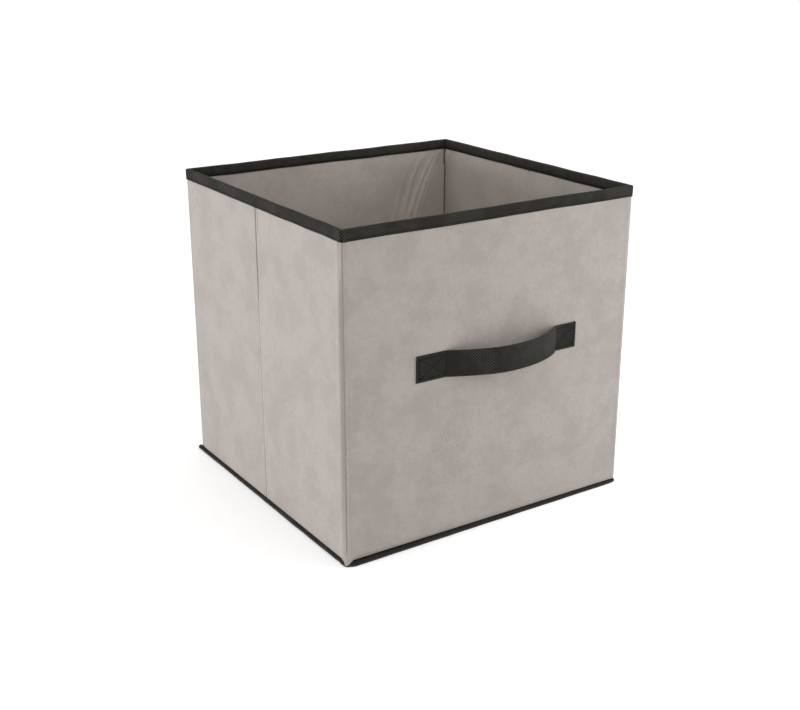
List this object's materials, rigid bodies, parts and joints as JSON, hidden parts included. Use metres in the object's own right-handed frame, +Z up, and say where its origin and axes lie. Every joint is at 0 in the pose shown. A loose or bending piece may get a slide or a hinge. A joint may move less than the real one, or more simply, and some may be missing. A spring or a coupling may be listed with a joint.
{
  "type": "fabric storage bin",
  "caption": "Foldable open-topped storage cube of non-woven fabric over cardboard stiffeners, with bound edges, a front strap handle and a loose base insert.",
  "frame": {"origin": "on the floor under the middle of the bin, at the middle of the base fabric's underside", "axes": "+Z up; -Y out of the front wall, which has the handle; +X to the right as one faces the front wall"},
  "size_m": [0.332, 0.335, 0.31],
  "materials": {
    "cover": "warm pale grey spunbond non-woven, finely embossed, matt",
    "lining": "warm mid grey-brown spunbond non-woven, matt",
    "binding": "charcoal black non-woven tape, finely embossed, matt",
    "board": "raw brown cardboard",
    "thread": "dark polyester sewing thread, slight sheen"
  },
  "bodies": {
    "back": {"back_cover": "cover", "back_board": "board", "back_lining": "lining", "back_rim_binding": "binding", "base_fabric": "cover", "front_bottom_binding": "binding", "back_bottom_binding": "binding", "left_bottom_binding": "binding", "right_bottom_binding": "binding"},
    "left_rear": {"left_rear_cover": "cover", "left_rear_board": "board", "left_rear_lining": "lining", "left_rear_rim_binding": "binding"},
    "left_front": {"left_front_cover": "cover", "left_front_board": "board", "left_front_lining": "lining", "left_front_rim_binding": "binding"},
    "front": {"front_cover": "cover", "front_board": "board", "front_lining": "lining", "front_rim_binding": "binding", "handle_left_tab": "binding", "handle_right_tab": "binding", "handle_left_stitching": "thread", "handle_right_stitching": "thread"},
    "right_rear": {"right_rear_cover": "cover", "right_rear_board": "board", "right_rear_lining": "lining", "right_rear_rim_binding": "binding"},
    "right_front": {"right_front_cover": "cover", "right_front_board": "board", "right_front_lining": "lining", "right_front_rim_binding": "binding"},
    "insert": {"insert_board": "board", "insert_top_cover": "lining", "insert_bottom_cover": "lining"},
    "handle": {"handle_strap": "binding"}
  },
  "joints": [
    {"name": "fold", "type": "hinge", "parent": "back", "child": "left_rear", "pos_m": [-0.1595, 0.1476, 0.15], "axis": [0, 0, 1], "range_deg": [0, 88]},
    {"name": "left_middle_fold", "type": "hinge", "parent": "left_rear", "child": "left_front", "pos_m": [-0.1619, 0, 0.15], "axis": [0, 0, 1], "range_deg": [-176, 0]},
    {"name": "left_front_corner", "type": "hinge", "parent": "left_front", "child": "front", "pos_m": [-0.1595, -0.1476, 0.15], "axis": [0, 0, 1], "range_deg": [0, 88]},
    {"name": "right_rear_corner", "type": "hinge", "parent": "back", "child": "right_rear", "pos_m": [0.1595, 0.1476, 0.15], "axis": [0, 0, 1], "range_deg": [-88, 0]},
    {"name": "right_middle_fold", "type": "hinge", "parent": "right_rear", "child": "right_front", "pos_m": [0.1619, 0, 0.15], "axis": [0, 0, 1], "range_deg": [0, 176]},
    {"name": "insert_lift_out", "type": "slide", "parent": "back", "child": "insert", "axis": [0, 0, 1], "range_m": [0, 0.34]},
    {"name": "handle_swing", "type": "hinge", "parent": "front", "child": "handle", "pos_m": [0.008, -0.1612, 0.1735], "axis": [1, 0, 0], "range_deg": [-25, 25], "stiffness_Nm_per_rad": 0.03}
  ],
  "couplings": [
    {"joint": "left_middle_fold", "follows": "fold", "ratio": -2},
    {"joint": "left_front_corner", "follows": "fold", "ratio": 1},
    {"joint": "right_rear_corner", "follows": "fold", "ratio": -1},
    {"joint": "right_middle_fold", "follows": "fold", "ratio": 2}
  ]
}
